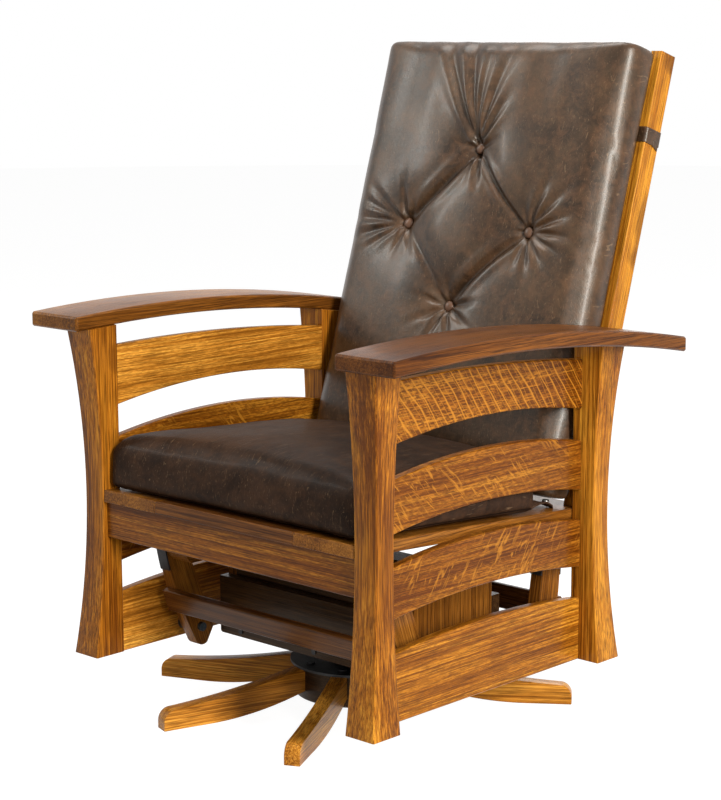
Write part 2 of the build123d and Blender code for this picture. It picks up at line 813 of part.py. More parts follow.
# On the back, cushion forms are drawn flat and then stood up: their height faces the front
cushion_stand = back_frame * Location((0, -soft_gap, 0), (90, 0, 0))


def buttons():
    discs = []
    for x, u in button_places:
        base = cushion_face(x, u) - tuft_depth + soft_gap
        disc = Pos(x, u, base + button_height / 2) * Cylinder(button_radius, button_height)
        disc = fillet(disc.edges().sort_by(Axis.Z)[-1], button_height / 2)
        discs.append(cushion_stand * disc)
    return discs


def back_strap():
    inner = back_post_outer_x - back_stile_width
    low = strap_centre - strap_width / 2
    high = strap_centre + strap_width / 2
    t = strap_thickness
    band = block(inner - t, back_post_outer_x + t, -soft_gap / 2, back_stile_depth + t, low, high)
    hole = block(inner, back_post_outer_x, -overrun, back_stile_depth, low - overrun, high + overrun)
    return back_frame * (band - hole)


def seat_tab():
    start = seat_cushion_front_y - deck_front_y + seat_cushion_depth + soft_gap
    end = start + tab_length
    t = strap_thickness
    rest = soft_gap
    edges = ThreePointArc((start, rest + tab_rise / 2), (start + tab_length / 2, rest + tab_rise),
                          (end, rest))
    edges += Line((end, rest), (end, rest + t))
    edges += ThreePointArc((start, rest + tab_rise / 2 + t), (start + tab_length / 2, rest + tab_rise + t),
                           (end, rest + t))
    edges += Line((start, rest + tab_rise / 2), (start, rest + tab_rise / 2 + t))
    return deck_frame * side_extrusion(edges, tab_inner_x, tab_inner_x + tab_width)


def chair_parts():
    slats = side_slats()
    bolts = [lower_pivot_bolt(front_lower_pivot_y, lower_bolt_head_radius),
             lower_pivot_bolt(rear_lower_pivot_y, open_pivot_washer_radius)]
    panel = slats["bottom_panel"]
    for bolt in bolts:
        panel = panel - bolt
    slats["bottom_panel"] = panel
    solids = list(slats.values())
    front = post(front_post_back_y, front_post_front_y, front_post_waist_y, front_post_top_y, solids)
    back = post(back_post_front_y, back_post_back_y, back_post_waist_y, back_post_top_y, solids)
    bolt = back_bolt()
    right_arm = arm() - bolt
    for name, solid in slats.items():
        keep(f"{name}_right", solid)
        keep(f"{name}_left", other_side(solid))
    keep("front_post_right", front)
    keep("front_post_left", other_side(front))
    keep("back_post_right", back)
    keep("back_post_left", other_side(back))
    keep("arm_right", right_arm)
    keep("arm_left", other_side(right_arm))
    keep("front_apron", apron(apron_front_y, apron_bottom_z))
    keep("rear_apron", apron(rear_apron_front_y, rear_apron_bottom_z))
    keep("lower_pivot_bolts", *(bolts + [other_side(b) for b in bolts]))
    keep("back_frame_bolts", bolt, other_side(bolt))
    deck_parts()
    back_frame_parts(bolt)
    keep("seat_cushion", seat_cushion())
    keep("back_cushion", cushion_stand * back_cushion())
    keep("cushion_buttons", *buttons())
    keep("back_straps", back_strap(), other_side(back_strap()))
    keep("seat_cushion_tabs", seat_tab(), other_side(seat_tab()))


base_parts()
turret_parts()
link_parts("front", -upper_pivot_y, front_lower_pivot_y, lower_bolt_radius + pivot_clearance)
link_parts("rear", upper_pivot_y, rear_lower_pivot_y, lower_bolt_radius + open_pivot_slack)
chair_parts()

# The origin moves from the swivel axis to the middle between the arms' front ends and the back's top
tilt = math.radians(back_tilt)
rear_reach_y = back_line_y + back_stile_top * math.sin(tilt) + back_stile_depth * math.cos(tilt)
row_frame = Pos(0, -(arm_front_y + rear_reach_y) / 2, 0)

os.makedirs("parts", exist_ok=True)
for name, solids in nodes.items():
    moved = [row_frame * solid for solid in solids]
    shape = moved[0] if len(moved) == 1 else Compound(children=moved)
    export_step(shape, f"parts/{name}.step")
print(len(nodes), "nodes")
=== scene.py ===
import bpy
import bmesh
import math
from mathutils import Matrix, Vector, noise


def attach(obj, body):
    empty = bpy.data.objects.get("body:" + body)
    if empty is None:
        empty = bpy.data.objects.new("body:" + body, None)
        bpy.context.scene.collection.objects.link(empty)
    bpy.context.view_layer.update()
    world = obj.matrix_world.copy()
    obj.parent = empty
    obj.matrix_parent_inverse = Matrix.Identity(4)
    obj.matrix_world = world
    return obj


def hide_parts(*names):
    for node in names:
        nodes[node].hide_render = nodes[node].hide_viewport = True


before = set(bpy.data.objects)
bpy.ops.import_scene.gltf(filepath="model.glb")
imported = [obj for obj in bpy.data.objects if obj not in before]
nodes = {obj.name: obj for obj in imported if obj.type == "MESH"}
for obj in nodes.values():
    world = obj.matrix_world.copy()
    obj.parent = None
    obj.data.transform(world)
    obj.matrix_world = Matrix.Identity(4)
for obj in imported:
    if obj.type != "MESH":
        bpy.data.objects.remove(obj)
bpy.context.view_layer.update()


# Camera and light

PHOTO_LENS = 94.16
PHOTO_PLACE = (2.2741, -2.4633, 1.0721)
PHOTO_RIGHT = Vector((0.72704, 0.68659, -0.00365))
PHOTO_UP = Vector((-0.11600, 0.12807, 0.98496))
PHOTO_BACK = Vector((0.67673, -0.71567, 0.17276))
CHAIR_MIDDLE = (0, -0.07, 0.45)
CHAIR_ARMS = (0, -0.07, 0.6)
CHAIR_TOP = (0, 0.0, 0.85)
CHAIR_SEAT = (0, 0.0, 0.5)
CHAIR_SEAT_FRONT = (0, -0.07, 0.5)
WARM_WHITE = (1.0, 0.98, 0.95)
COOL_WHITE = (0.97, 1.0, 0.99)
ROOM_STRENGTH = 0.13
FLOOR_GREY = 0.56
FLOOR_GLOW = 1.53
FLOOR_GLOW_SHARE = 0.62
FLOOR_RADIUS = 14


def photo_camera():
    camera = bpy.data.cameras.new("camera")
    camera.sensor_width = 36
    camera.lens = PHOTO_LENS
    camera.clip_end = 60
    placed = bpy.data.objects.new("camera", camera)
    bpy.context.scene.collection.objects.link(placed)
    turn = Matrix((PHOTO_RIGHT, PHOTO_UP, PHOTO_BACK)).transposed().to_4x4()
    placed.matrix_world = Matrix.Translation(PHOTO_PLACE) @ turn
    bpy.context.scene.camera = placed
    bpy.context.scene.view_settings.view_transform = "Standard"


def soft_lamp(name, place, aim, wide, high, watts, tint=(1, 1, 1)):
    lamp = bpy.data.lights.new(name, "AREA")
    lamp.shape = "RECTANGLE"
    lamp.size = wide
    lamp.size_y = high
    lamp.energy = watts
    lamp.color = tint
    placed = bpy.data.objects.new(name, lamp)
    bpy.context.scene.collection.objects.link(placed)
    placed.location = place
    placed.rotation_euler = (Vector(aim) - Vector(place)).to_track_quat("-Z", "Y").to_euler()


# The white surroundings show to the camera, in gloss and through clear parts, and light nothing else
def seen_directly(tree):
    path = tree.nodes.new("ShaderNodeLightPath")
    seen = path.outputs["Is Camera Ray"]
    for ray in ("Is Glossy Ray", "Is Transmission Ray"):
        larger = tree.nodes.new("ShaderNodeMath")
        larger.operation = "MAXIMUM"
        tree.links.new(seen, larger.inputs[0])
        tree.links.new(path.outputs[ray], larger.inputs[1])
        seen = larger.outputs[0]
    return seen


def studio():
    world = bpy.data.worlds.new("studio")
    bpy.context.scene.world = world
    world.use_nodes = True
    tree = world.node_tree
    tree.nodes.clear()
    room = tree.nodes.new("ShaderNodeBackground")
    room.inputs["Color"].default_value = (1.0, 0.99, 0.97, 1)
    room.inputs["Strength"].default_value = ROOM_STRENGTH
    white = tree.nodes.new("ShaderNodeBackground")
    white.inputs["Color"].default_value = (1, 1, 1, 1)
    white.inputs["Strength"].default_value = 1.0
    choice = tree.nodes.new("ShaderNodeMixShader")
    out = tree.nodes.new("ShaderNodeOutputWorld")
    tree.links.new(seen_directly(tree), choice.inputs[0])
    tree.links.new(room.outputs[0], choice.inputs[1])
    tree.links.new(white.outputs[0], choice.inputs[2])
    tree.links.new(choice.outputs[0], out.inputs["Surface"])

    soft_lamp("window", (4.90, -1.35, 2.35), CHAIR_MIDDLE, 0.75, 3.2, 470, WARM_WHITE)
    soft_lamp("edge_strip", (2.95, -3.0, 1.75), CHAIR_ARMS, 0.90, 1.7, 20, (1.0, 0.99, 0.97))
    soft_lamp("far_strip", (-2.75, -1.70, 2.60), CHAIR_TOP, 0.25, 1.7, 42, COOL_WHITE)
    soft_lamp("behind", (-1.7, 3.1, 2.1), CHAIR_SEAT, 1.3, 1.6, 26)
    soft_lamp("overhead", (-0.5, 0.3, 2.9), CHAIR_SEAT_FRONT, 1.4, 1.4, 44)
    white_floor()


def white_floor():
    sheet = bpy.data.meshes.new("floor")
    form = bmesh.new()
    bmesh.ops.create_circle(form, cap_ends=True, segments=64, radius=FLOOR_RADIUS)
    form.to_mesh(sheet)
    form.free()
    floor = bpy.data.objects.new("floor", sheet)
    bpy.context.scene.collection.objects.link(floor)
    pale = bpy.data.materials.new("pale_floor")
    pale.use_nodes = True
    tree = pale.node_tree
    tree.nodes.clear()
    paint = tree.nodes.new("ShaderNodeBsdfDiffuse")
    paint.inputs["Color"].default_value = (FLOOR_GREY, FLOOR_GREY, FLOOR_GREY, 1)
    glow = tree.nodes.new("ShaderNodeEmission")
    glow.inputs["Strength"].default_value = FLOOR_GLOW
    share = tree.nodes.new("ShaderNodeMath")
    share.operation = "MULTIPLY"
    share.inputs[1].default_value = FLOOR_GLOW_SHARE
    mix = tree.nodes.new("ShaderNodeMixShader")
    out = tree.nodes.new("ShaderNodeOutputMaterial")
    tree.links.new(seen_directly(tree), share.inputs[0])
    tree.links.new(share.outputs[0], mix.inputs[0])
    tree.links.new(paint.outputs[0], mix.inputs[1])
    tree.links.new(glow.outputs[0], mix.inputs[2])
    tree.links.new(mix.outputs[0], out.inputs["Surface"])
    sheet.materials.append(pale)


# Small helpers for finishes

class Finish:
    """A material under construction: its node tree with short ways to add to it."""

    def __init__(self, name):
        self.material = bpy.data.materials.new(name)
        self.material.use_nodes = True
        self.tree = self.material.node_tree
        self.surface = self.tree.nodes["Principled BSDF"]

    def add(self, kind, **settings):
        node = self.tree.nodes.new("ShaderNode" + kind)
        for key, value in settings.items():
            setattr(node, key, value)
        return node

    def join(self, start, end):
        self.tree.links.new(start, end)

    def placed(self, turn=(0, 0, 0), shift=(0, 0, 0), scale=(1, 1, 1), start=None):
        mapping = self.add("Mapping")
        mapping.inputs["Rotation"].default_value = turn
        mapping.inputs["Location"].default_value = shift
        mapping.inputs["Scale"].default_value = scale
        if start is None:
            start = self.add("TexCoord").outputs["Object"]
        self.join(start, mapping.inputs["Vector"])
        return mapping.outputs[0]

    def clouds(self, place, scale, detail=3.0, rough=0.55, warp=0.0):
        tex = self.add("TexNoise")
        tex.inputs["Scale"].default_value = scale
        tex.inputs["Detail"].default_value = detail
        tex.inputs["Roughness"].default_value = rough
        tex.inputs["Distortion"].default_value = warp
        self.join(place, tex.inputs["Vector"])
        return tex.outputs["Fac"]

    def cells(self, place, scale):
        tex = self.add("TexVoronoi", feature="F1")
        tex.inputs["Scale"].default_value = scale
        self.join(place, tex.inputs["Vector"])
        return tex.outputs["Distance"]

    def bands(self, place, scale, warp, detail=2.0, detail_scale=1.0):
        tex = self.add("TexWave", wave_type="BANDS", bands_direction="X")
        tex.inputs["Scale"].default_value = scale
        tex.inputs["Distortion"].default_value = warp
        tex.inputs["Detail"].default_value = detail
        tex.inputs["Detail Scale"].default_value = detail_scale
        self.join(place, tex.inputs["Vector"])
        return tex.outputs["Fac"]

    def steps(self, value, *stops):
        ramp = self.add("ValToRGB")
        band = ramp.color_ramp
        while len(band.elements) < len(stops):
            band.elements.new(0.5)
        for element, (place, colour) in zip(band.elements, stops):
            element.position = place
            if not isinstance(colour, tuple):
                colour = (colour, colour, colour)
            element.color = (*colour, 1)
        self.join(value, ramp.inputs[0])
        return ramp.outputs["Color"]

    def number(self, kind, a, b):
        node = self.add("Math", operation=kind)
        for socket, value in zip(node.inputs, (a, b)):
            if isinstance(value, (int, float)):
                socket.default_value = value
            else:
                self.join(value, socket)
        return node.outputs[0]

    def blend(self, share, a, b):
        node = self.add("Mix", data_type="RGBA", blend_type="MIX")
        for socket, value in zip((node.inputs[0], node.inputs[6], node.inputs[7]), (share, a, b)):
            if isinstance(value, (int, float)):
                socket.default_value = value
            elif isinstance(value, tuple):
                socket.default_value = (*value, 1)
            else:
                self.join(value, socket)
        return node.outputs[2]

    def span(self, value, low, high):
        node = self.add("MapRange")
        node.inputs["To Min"].default_value = low
        node.inputs["To Max"].default_value = high
        self.join(value, node.inputs["Value"])
        return node.outputs[0]

    def relief(self, height, strength, distance, under=None):
        bump = self.add("Bump")
        bump.inputs["Strength"].default_value = strength
        bump.inputs["Distance"].default_value = distance
        self.join(height, bump.inputs["Height"])
        if under is not None:
            self.join(under, bump.inputs["Normal"])
        self.join(bump.outputs[0], self.surface.inputs["Normal"])
        return bump.outputs[0]

    def colour(self, value):
        self.join(value, self.surface.inputs["Base Color"])

    def set(self, **values):
        for key, value in values.items():
            self.surface.inputs[key.replace("_", " ").title().replace("Ior", "IOR")].default_value = value


# Oak: straight pores, growth lines and, where the board is quarter sawn, ray flecks across it

# Each tone has a deep, a middle and a pale colour
GOLDEN = ((0.116, 0.030, 0.0020), (0.345, 0.113, 0.0075), (0.57, 0.238, 0.0220))
AMBER = ((0.085, 0.020, 0.0016), (0.236, 0.071, 0.0050), (0.41, 0.160, 0.0150))
PALE = ((0.190, 0.060, 0.0040), (0.50, 0.187, 0.0190), (0.74, 0.350, 0.0500))
DARK = ((0.040, 0.0105, 0.0025), (0.112, 0.036, 0.0065), (0.205, 0.074, 0.0145))
RUSSET = ((0.032, 0.0078, 0.0018), (0.093, 0.0265, 0.0035), (0.172, 0.057, 0.0090))
MIDDLE = ((0.075, 0.0230, 0.0030), (0.195, 0.066, 0.0080), (0.320, 0.125, 0.0180))
# SHADED is painted shade: a near-black brown for the turret boards and the hub, which lie in the seat's
# shadow
SHADED = ((0.018, 0.0075, 0.0030), (0.052, 0.0230, 0.0080), (0.095, 0.046, 0.0160))


def oak(name, length_way, tone, rays="none", seed=0.0, gloss=0.30):
    wood = Finish(name)
    turn = Vector(length_way).normalized().rotation_difference(Vector((1, 0, 0))).to_euler()
    board = wood.placed(turn, (seed * 1.37, seed * 0.61, seed * 0.83))
    deep, mid, pale = tone

    sway = wood.clouds(wood.placed(scale=(1.6, 11, 11), start=board), 1.0, 2.0, 0.5, 0.6)
    lines = wood.clouds(wood.placed(scale=(2.0, 300, 300), start=board), 1.0, 4.0, 0.75, 0.05)
    pores = wood.clouds(wood.placed(scale=(20, 760, 760), start=board), 1.0, 2.0, 0.6)
    broad = wood.clouds(wood.placed(scale=(2.4, 24, 24), start=board), 1.0, 3.0, 0.6, 0.9)

    growth = wood.number("ADD", wood.number("MULTIPLY", lines, 0.62), wood.number("MULTIPLY", sway, 0.38))
    body = wood.steps(growth, (0.41, deep), (0.50, mid), (0.60, pale))
    if rays == "cathedral":
        body = cathedral_lines(wood, board, body, deep)
    body = wood.blend(wood.steps(broad, (0.36, 0.30), (0.50, 0.0)), body, deep)
    body = wood.blend(wood.steps(broad, (0.54, 0.0), (0.68, 0.30)), body, pale)
    holes = wood.steps(pores, (0.38, 1.0), (0.52, 0.0))
    body = wood.blend(wood.number("MULTIPLY", holes, 0.66), body, tuple(0.40 * c for c in deep))
    if rays not in ("none", "cathedral"):
        body = ray_flecks(wood, board, body, rays, deep, pale)
    wood.colour(body)
    height = wood.number("SUBTRACT", lines, wood.number("MULTIPLY", holes, 0.8))
    wood.relief(height, 0.22, 0.0005)
    sheen = wood.span(wood.clouds(board, 11.0, 3.0), gloss - 0.05, gloss + 0.10)
    wood.join(sheen, wood.surface.inputs["Roughness"])
    wood.set(specular_ior_level=0.14, specular_tint=(1.0, 0.72, 0.42, 1))
    wood.set(coat_weight=0.07, coat_roughness=0.12)
    return wood.material


def ray_flecks(wood, board, body, kind, deep, pale):
    bright = tuple(min(1.0, 1.10 * c) for c in pale)
    if kind == "dashes":
        return brick_pores(wood, board, body, deep, 0.35)
    if kind == "lines":
        body = brick_pores(wood, board, body, deep, 0.72)
        bent = wood.placed(scale=(1, 0.55, 0.55), start=leaning(wood, board, 0.75))
        waves = wood.bands(bent, 15.0, 6.0, 2.5, 1.0)
        thin = wood.steps(waves, (0.92, 0.0), (0.99, 0.75))
        weak = wood.bands(wood.placed(shift=(3, 1, 2), start=bent), 27.0, 5.0, 2.0, 0.9)
        faint = wood.steps(weak, (0.93, 0.0), (0.995, 0.40))
        return wood.blend(wood.number("MAXIMUM", thin, faint), body, bright)
    lean = 0.9 if kind == "flames" else -0.7
    body = brick_pores(wood, board, body, deep, 0.5)
    slanted = wood.placed(scale=(82, 24, 24), start=leaning(wood, board, lean))
    patch = wood.clouds(slanted, 1.0, 2.0, 0.55, 1.5)
    groups = wood.clouds(wood.placed(scale=(9, 14, 14), start=board), 1.0, 1.0)
    where = wood.steps(groups, (0.42, 0.0), (0.56, 1.0))
    share = wood.number("MULTIPLY", wood.steps(patch, (0.55, 0.0), (0.66, 0.62)), where)
    return wood.blend(share, body, bright)


def cathedral_lines(wood, board, body, deep):
    across = wood.placed(turn=(0, 0, 1.5708), scale=(11.0, 1.5, 11.0), start=board)
    arches = wood.bands(across, 1.25, 7.0, 2.0, 0.45)
    share = wood.steps(arches, (0.02, 0.72), (0.30, 0.0))
    return wood.blend(share, body, tuple(0.75 * c for c in deep))


def leaning(wood, board, lean):
    parts = wood.add("SeparateXYZ")
    wood.join(board, parts.inputs[0])
    across = wood.number("ADD", parts.outputs["Y"], parts.outputs["Z"])
    whole = wood.add("CombineXYZ")
    slid = wood.number("ADD", parts.outputs["X"], wood.number("MULTIPLY", across, lean))
    wood.join(slid, whole.inputs["X"])
    wood.join(parts.outputs["Y"], whole.inputs["Y"])
    wood.join(parts.outputs["Z"], whole.inputs["Z"])
    return whole.outputs[0]


def brick_pores(wood, board, body, deep, strength):
    brick = wood.clouds(wood.placed(scale=(95, 420, 420), start=board), 1.0, 1.0, 0.5, 0.2)
    share = wood.steps(brick, (0.44, strength), (0.54, 0.0))
    return wood.blend(share, body, tuple(0.8 * c for c in deep))


def plywood():
    ply = Finish("plywood_panel")
    grain = ply.clouds(ply.placed(scale=(4, 120, 120)), 1.0, 4.0, 0.6, 0.3)
    ply.colour(ply.steps(grain, (0.34, (0.20, 0.11, 0.05)), (0.66, (0.42, 0.27, 0.14))))
    ply.relief(grain, 0.2, 0.0005)
    ply.set(roughness=0.6)
    return ply.material


# Metal

def painted_steel():
    steel = Finish("black_painted_steel")
    place = steel.placed()
    mottle = steel.clouds(place, 90.0, 4.0, 0.6)
    worn = steel.clouds(place, 22.0, 5.0, 0.7)
    body = steel.steps(mottle, (0.3, (0.012, 0.012, 0.013)), (0.7, (0.030, 0.029, 0.028)))
    body = steel.blend(steel.steps(worn, (0.66, 0.0), (0.74, 0.5)), body, (0.10, 0.09, 0.08))
    steel.colour(body)
    steel.relief(steel.clouds(place, 900.0, 2.0), 0.15, 0.0003)
    steel.join(steel.span(worn, 0.32, 0.55), steel.surface.inputs["Roughness"])
    steel.set(metallic=0.6)
    return steel.material


def bright_steel(name, deep, pale):
    steel = Finish(name)
    place = steel.placed()
    mottle = steel.clouds(place, 160.0, 4.0, 0.6)
    steel.colour(steel.steps(mottle, (0.3, deep), (0.7, pale)))
    steel.join(steel.span(mottle, 0.28, 0.48), steel.surface.inputs["Roughness"])
    steel.relief(mottle, 0.15, 0.0003)
    steel.set(metallic=1.0)
    return steel.material


# Leather: oiled hide with rust patches, pale scuffs and a fine pebble grain

# Each hide has a deep, a middle and a rust tone
CUSHION_TONES = ((0.017, 0.0090, 0.0048), (0.046, 0.0262, 0.0135), (0.108, 0.050, 0.023))
SEAT_TONES = ((0.011, 0.0054, 0.0032), (0.025, 0.0130, 0.0078), (0.056, 0.026, 0.013))
TAB_TONES = ((0.014, 0.0070, 0.0042), (0.035, 0.0185, 0.0115), (0.075, 0.036, 0.019))
BUTTON_TONES = ((0.050, 0.024, 0.013), (0.105, 0.052, 0.030), (0.170, 0.080, 0.042))
SCUFF = (0.25, 0.155, 0.085)
# Near-black for the seam's line: dark thread with painted shade in its crease
THREAD_AND_CREASE_SHADE = (0.008, 0.005, 0.004)
SEAM_HEIGHT = 0.010
SEAM_SHARPNESS = 400.0


def hide(name, tones, rough, sheen, seam=0.0):
    deep, mid, rust = tones
    skin = Finish(name)
    place = skin.placed()
    drift = skin.clouds(place, 9.0, 7.0, 0.70, 0.5)
    mottle = skin.clouds(place, 58.0, 6.0, 0.74, 0.7)
    body = skin.steps(drift, (0.38, deep), (0.52, mid), (0.66, tuple(1.5 * c for c in mid)))
    body = skin.blend(skin.steps(mottle, (0.40, 0.0), (0.66, 0.62)), body, rust)
    dark_spots = skin.clouds(skin.placed(shift=(3, 1, 7)), 19.0, 5.0, 0.7, 0.5)
    body = skin.blend(skin.steps(dark_spots, (0.34, 0.62), (0.52, 0.0)), body, deep)
    scratch_way = skin.placed(turn=(0.5, 0.7, 0.4), scale=(220, 9, 60))
    scratch = skin.clouds(scratch_way, 1.0, 3.0, 0.7, 2.2)
    body = skin.blend(skin.steps(scratch, (0.60, 0.0), (0.70, 0.42)), body, SCUFF)
    other_way = skin.placed(turn=(1.4, 0.3, -0.6), shift=(5, 2, 1), scale=(190, 12, 45))
    crackle = skin.clouds(other_way, 1.0, 4.0, 0.75, 2.6)
    body = skin.blend(skin.steps(crackle, (0.30, 0.45), (0.42, 0.0)), body, deep)
    skin.colour(body)
    pebble = skin.cells(place, 780.0)
    crease = skin.clouds(place, 150.0, 4.0, 0.7, 1.0)
    first = skin.relief(crease, 0.28, 0.0012)
    skin.relief(pebble, 0.16, 0.0005, under=first)
    skin.join(skin.span(mottle, rough - 0.05, rough + 0.16), skin.surface.inputs["Roughness"])
    if seam:
        sewn_line(skin, seam)
    skin.set(specular_ior_level=sheen, specular_tint=(1.0, 0.95, 0.84, 1))
    skin.set(coat_weight=0.5 * sheen, coat_roughness=0.20)
    return skin.material


# The seam lies at a height above the cushion's underside that each point carries as "height"; its
# near-black line is dark thread and painted shade in the seam's crease
def sewn_line(skin, seam):
    height = skin.add("Attribute", attribute_name="height").outputs["Fac"]
    off = skin.number("ABSOLUTE", skin.number("SUBTRACT", height, seam), 0.0)
    line = skin.steps(skin.number("MULTIPLY", off, SEAM_SHARPNESS), (0.30, 1.0), (0.55, 0.0))
    below = skin.surface.inputs["Base Color"].links[0].from_socket
    skin.colour(skin.blend(line, below, THREAD_AND_CREASE_SHADE))
    bump = skin.surface.inputs["Normal"].links[0].from_socket
    skin.relief(skin.number("SUBTRACT", 1.0, line), 0.8, 0.0015, under=bump)


# What each board is made of, and which way its grain runs

ALONG_X = (1, 0, 0)
ALONG_Y = (0, 1, 0)
ALONG_Z = (0, 0, 1)
LEG_DEGREES = (-156.9, -107.9, -62.8, 36.6, 107.0)
BACK_TILT = math.radians(-16.8)
DECK_TILT = math.radians(-3.5)
EASED = 0.0016
WELD_REACH = 0.00002
FLAT_ANGLE = math.radians(0.6)
EDGE_ANGLE = math.radians(28)
FRONT_LINK_WAY = (0, 53, -148)
REAR_LINK_WAY = (0, -22, -148)
BLUED_DEEP = (0.040, 0.050, 0.058)
BLUED_PALE = (0.120, 0.145, 0.160)
ZINC_DEEP = (0.30, 0.29, 0.27)
ZINC_PALE = (0.52, 0.50, 0.47)
PLAINER = {"upper_slat_left": "dashes", "front_post_right": "none"}
# The far side's slats, bottom panel and arm get paler tones than their twins on the near side: painted
# light, for the light and the sheen that fall on them
FAR_SIDE_LIT_TONES = {
    "upper_slat_left": PALE, "middle_slat_left": GOLDEN,
    "bottom_panel_left": PALE, "arm_left": MIDDLE,
}


def board_finishes():
    up_the_back = Matrix.Rotation(BACK_TILT, 3, "X") @ Vector((0, 0, 1))
    boards = {
        "front_post": (ALONG_Z, GOLDEN, "cathedral"), "back_post": (ALONG_Z, GOLDEN, "none"),
        "bottom_panel": (ALONG_Y, GOLDEN, "dashes"), "lower_slat": (ALONG_Y, AMBER, "arcs"),
        "middle_slat": (ALONG_Y, AMBER, "flames"), "upper_slat": (ALONG_Y, AMBER, "lines"),
        "arm": (ALONG_Y, RUSSET, "none"), "deck_side_rail": (ALONG_Y, MIDDLE, "none"),
        "back_stile": (up_the_back, GOLDEN, "cathedral"),
        "turret_side_board": (ALONG_Z, MIDDLE, "none"), "pivot_rail": (ALONG_Y, MIDDLE, "none"),
        "front_link": (FRONT_LINK_WAY, MIDDLE, "none"), "rear_link": (REAR_LINK_WAY, MIDDLE, "none"),
    }
    count = 0
    for piece, (way, tone, rays) in boards.items():
        for side in ("left", "right"):
            count += 1
            name = f"{piece}_{side}"
            figure = PLAINER.get(name, rays)
            wear(name, oak("oak_" + name, way, FAR_SIDE_LIT_TONES.get(name, tone), figure, count), EASED)
    singles = {
        "front_apron": (AMBER, "dashes"), "rear_apron": (GOLDEN, "none"),
        "deck_front_rail": (DARK, "none"), "deck_rear_rail": (MIDDLE, "none"),
        "back_top_rail": (GOLDEN, "none"), "back_slats": (GOLDEN, "none"),
        # The turret boards, spreaders and hub wear SHADED, painted shade
        "turret_platform": (SHADED, "none"), "turret_front_board": (SHADED, "none"),
        "turret_rear_board": (SHADED, "none"), "turret_spreaders": (SHADED, "none"),
        "front_crossrail": (DARK, "none"), "rear_crossrail": (DARK, "none"),
        "base_hub": (SHADED, "none"),
    }
    for name, (tone, rays) in singles.items():
        count += 1
        wear(name, oak("oak_" + name, ALONG_X, tone, rays, count), EASED)
    for number, angle in enumerate(LEG_DEGREES):
        count += 1
        turn = math.radians(angle)
        name = f"star_leg_{number + 1}"
        wear(name, oak("oak_" + name, (math.cos(turn), math.sin(turn), 0), PALE, "none", count), EASED)
    wear("deck_panel", plywood())


def metal_finishes():
    black = painted_steel()
    for name in ("lower_swivel_plate", "upper_swivel_plate", "front_link_caps", "rear_link_caps"):
        wear(name, black)
    for name in ("board_screws", "leg_screws", "back_frame_bolts"):
        wear(name, black)
    wear("lower_pivot_bolts", bright_steel("blued_bolt_steel", BLUED_DEEP, BLUED_PALE))
    zinc = bright_steel("zinc_bolt_steel", ZINC_DEEP, ZINC_PALE)
    for name in ("upper_pivot_bolts", "swivel_spindle"):
        wear(name, zinc)


def wear(name, material, ease=0.0):
    mesh = nodes[name].data
    mesh.materials.clear()
    mesh.materials.append(material)
    if ease:
        ease_edges(nodes[name], ease)


def ease_edges(board, radius):
    weld = board.modifiers.new("weld", "WELD")
    weld.merge_threshold = WELD_REACH
    flat = board.modifiers.new("flat_faces", "DECIMATE")
    flat.decimate_type = "DISSOLVE"
    flat.angle_limit = FLAT_ANGLE
    ease = board.modifiers.new("eased", "BEVEL")
    ease.width = radius
    ease.segments = 3
    ease.limit_method = "ANGLE"
    ease.angle_limit = EDGE_ANGLE
    ease.harden_normals = False


# Cushions: a rounded block is evenly meshed, puffed up by its filling, then tufted

VOXEL = 0.0055
PRESSURE = 4.0
FRAMES = 14
# The most that the filling moves a point: across, along and through the cushion
LARGEST_SWELL = (0.0015, 0.0015, 0.004)
LEANS_LEFT = 0.004
STARTS_SMALLER = 0.006
LEAST_HEIGHT = 0.0006
ENDS_FALL = 0.88
WAVE_HEIGHT = 0.0022
SWAY_HEIGHT = 0.0016
WAVES_START_U = 0.26
WAVES_GROW_OVER = 0.16
# Sizes are width, length and thickness
BACK_SIZE = (0.544, 0.744, 0.082)
BACK_SOFT_EDGE = 0.008
BACK_SHOULDER = 0.036
BACK_BROW = 0.014
BACK_CROWN = 0.024
BACK_MIDDLE_U = 0.0925
SEAT_SIZE = (0.552, 0.412, 0.090)
SEAT_SOFT_EDGE = 0.009
SEAT_SHOULDER = 0.022
SEAT_BROW = 0.034
SEAT_MADE_BROW = 0.016
SEAT_CROWN = 0.022
SEAT_OVERHANG = 0.006
BACK_FOOT = Matrix.Translation((0, 0.23634, 0.595))
UPRIGHT = Matrix.Rotation(math.radians(90), 4, "X")
BACK_GAP = Matrix.Translation((0, -0.0004, 0))
BACK_PLACE = BACK_FOOT @ Matrix.Rotation(BACK_TILT, 4, "X") @ BACK_GAP @ UPRIGHT
BACK_STAND = BACK_FOOT @ Matrix.Rotation(BACK_TILT, 4, "X") @ UPRIGHT
DECK_PLACE = Matrix.Translation((0, -0.36466, 0.353)) @ Matrix.Rotation(DECK_TILT, 4, "X")
# Where each button sits: across the back, and up it from BACK_FOOT
BUTTONS = ((0.0, 0.274), (-0.132, 0.139), (0.132, 0.139), (0.0, 0.003))


def piece_from(form, name, material):
    mesh = bpy.data.meshes.new(name)
    form.to_mesh(mesh)
    form.free()
    mesh.shade_smooth()
    mesh.materials.append(material)
    made = bpy.data.objects.new(name, mesh)
    bpy.context.scene.collection.objects.link(made)
    return made


def apply_all(made):
    depsgraph = bpy.context.evaluated_depsgraph_get()
    baked = bpy.data.meshes.new_from_object(made.evaluated_get(depsgraph))
    old = made.data
    made.modifiers.clear()
    made.data = baked
    bpy.data.meshes.remove(old)
    baked.name = made.name


